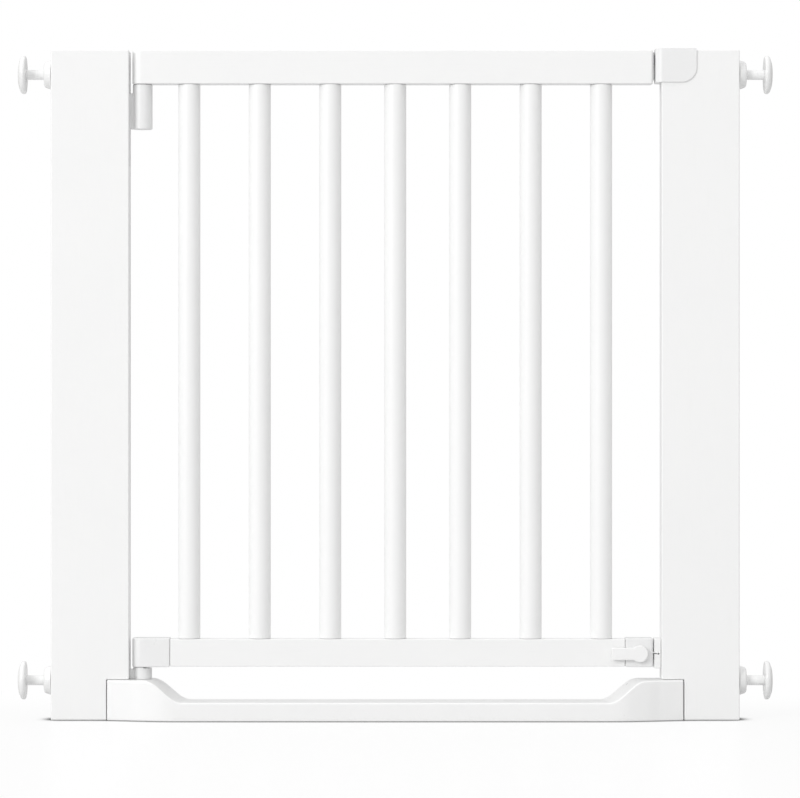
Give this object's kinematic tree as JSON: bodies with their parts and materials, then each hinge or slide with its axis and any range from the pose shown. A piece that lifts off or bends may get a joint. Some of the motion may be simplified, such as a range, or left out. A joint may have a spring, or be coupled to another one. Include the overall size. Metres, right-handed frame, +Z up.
{
  "type": "safety gate",
  "caption": "White wooden pressure-fit safety gate: wide posts on a low threshold, a barred leaf on pivots that swings both ways, a top latch, a lever lock and screw-out wall pads.",
  "frame": {"origin": "on the floor under the middle of the threshold, in the middle plane of the posts", "axes": "+X from the hinge side to the latch side, +Y away from the side seen in the picture (the threshold bulges to -Y), +Z up"},
  "size_m": [0.8236, 0.059, 0.7316],
  "materials": {
    "white_lacquer": "satin white lacquer",
    "white_plastic": "moulded, semi-gloss",
    "white_rod": "white coated thread",
    "pale_rubber": "matt",
    "zinc_steel": "zinc plated",
    "pale_bush": "natural"
  },
  "bodies": {
    "frame": {"left_post": "white_lacquer", "right_post": "white_lacquer", "threshold": "white_plastic", "threshold_screw_left": "zinc_steel", "threshold_screw_right": "zinc_steel", "top_hinge_bracket": "white_plastic", "bracket_screw_lower": "zinc_steel", "bracket_screw_upper": "zinc_steel", "top_hinge_pin": "zinc_steel", "lower_pivot_socket": "white_plastic", "lower_pivot_pin": "zinc_steel", "catch_cap": "white_plastic", "catch_cap_screw": "zinc_steel", "latch_spring": "zinc_steel", "lower_catch": "white_plastic", "lower_catch_screw": "zinc_steel", "guide_sleeve_bottom_left": "pale_bush", "guide_sleeve_bottom_right": "pale_bush", "guide_sleeve_top_left": "pale_bush", "guide_sleeve_top_right": "pale_bush"},
    "leaf": {"top_rail": "white_lacquer", "bottom_rail": "white_lacquer", "spindle_1": "white_lacquer", "spindle_2": "white_lacquer", "spindle_3": "white_lacquer", "spindle_4": "white_lacquer", "spindle_5": "white_lacquer", "spindle_6": "white_lacquer", "spindle_7": "white_lacquer", "hinge_end_cap": "white_plastic", "hinge_cap_screw": "zinc_steel", "latch_end_cap": "white_plastic", "latch_cap_screw": "zinc_steel", "strike_plate": "zinc_steel", "strike_screw": "zinc_steel", "top_hinge_bush": "pale_bush", "lower_pivot_bush": "pale_bush"},
    "latch_slider": {"latch_bolt": "zinc_steel", "release_slider": "white_plastic"},
    "lever": {"lock_lever": "white_plastic"},
    "lower_lock_bolt": {"lower_bolt": "zinc_steel"},
    "nut_bottom_left": {"hand_nut_bottom_left": "white_plastic"},
    "pad_bottom_left": {"pad_plate_bottom_left": "white_plastic", "pad_rubber_bottom_left": "pale_rubber", "threaded_rod_bottom_left": "white_rod"},
    "nut_bottom_right": {"hand_nut_bottom_right": "white_plastic"},
    "pad_bottom_right": {"pad_plate_bottom_right": "white_plastic", "pad_rubber_bottom_right": "pale_rubber", "threaded_rod_bottom_right": "white_rod"},
    "nut_top_left": {"hand_nut_top_left": "white_plastic"},
    "pad_top_left": {"pad_plate_top_left": "white_plastic", "pad_rubber_top_left": "pale_rubber", "threaded_rod_top_left": "white_rod"},
    "nut_top_right": {"hand_nut_top_right": "white_plastic"},
    "pad_top_right": {"pad_plate_top_right": "white_plastic", "pad_rubber_top_right": "pale_rubber", "threaded_rod_top_right": "white_rod"}
  },
  "joints": [
    {"name": "leaf_swing", "type": "hinge", "parent": "frame", "child": "leaf", "pos_m": [-0.276, 0, 0], "axis": [0, 0, 1], "range_deg": [-90, 90], "stiffness_Nm_per_rad": 1.2},
    {"name": "latch_slide", "type": "slide", "parent": "frame", "child": "latch_slider", "axis": [-1, 0, 0], "range_m": [0, 0.007]},
    {"name": "lock_lever_turn", "type": "hinge", "parent": "leaf", "child": "lever", "pos_m": [0.2662, -0.0136, 0.0722], "axis": [0, 1, 0], "range_deg": [0, 90]},
    {"name": "lower_bolt_slide", "type": "slide", "parent": "leaf", "child": "lower_lock_bolt", "axis": [1, 0, 0], "range_m": [0, 0.0066]},
    {"name": "nut_turn_bottom_left", "type": "hinge", "parent": "frame", "child": "nut_bottom_left", "pos_m": [-0.3754, 0, 0.0425], "axis": [1, 0, 0], "range_deg": [-2521, 2881]},
    {"name": "rod_slide_bottom_left", "type": "slide", "parent": "frame", "child": "pad_bottom_left", "axis": [-1, 0, 0], "range_m": [-0.014, 0.016]},
    {"name": "nut_turn_bottom_right", "type": "hinge", "parent": "frame", "child": "nut_bottom_right", "pos_m": [0.3754, 0, 0.0425], "axis": [-1, 0, 0], "range_deg": [-2521, 2881]},
    {"name": "rod_slide_bottom_right", "type": "slide", "parent": "frame", "child": "pad_bottom_right", "axis": [1, 0, 0], "range_m": [-0.014, 0.016]},
    {"name": "nut_turn_top_left", "type": "hinge", "parent": "frame", "child": "nut_top_left", "pos_m": [-0.3754, 0, 0.704], "axis": [1, 0, 0], "range_deg": [-2521, 2881]},
    {"name": "rod_slide_top_left", "type": "slide", "parent": "frame", "child": "pad_top_left", "axis": [-1, 0, 0], "range_m": [-0.014, 0.016]},
    {"name": "nut_turn_top_right", "type": "hinge", "parent": "frame", "child": "nut_top_right", "pos_m": [0.3754, 0, 0.704], "axis": [-1, 0, 0], "range_deg": [-2521, 2881]},
    {"name": "rod_slide_top_right", "type": "slide", "parent": "frame", "child": "pad_top_right", "axis": [1, 0, 0], "range_m": [-0.014, 0.016]}
  ],
  "couplings": [
    {"joint": "lower_bolt_slide", "follows": "lock_lever_turn", "m_per_rad": 0.0041415},
    {"joint": "nut_turn_bottom_left", "follows": "rod_slide_bottom_left", "rad_per_m": 3141.6},
    {"joint": "nut_turn_bottom_right", "follows": "rod_slide_bottom_right", "rad_per_m": 3141.6},
    {"joint": "nut_turn_top_left", "follows": "rod_slide_top_left", "rad_per_m": 3141.6},
    {"joint": "nut_turn_top_right", "follows": "rod_slide_top_right", "rad_per_m": 3141.6}
  ]
}
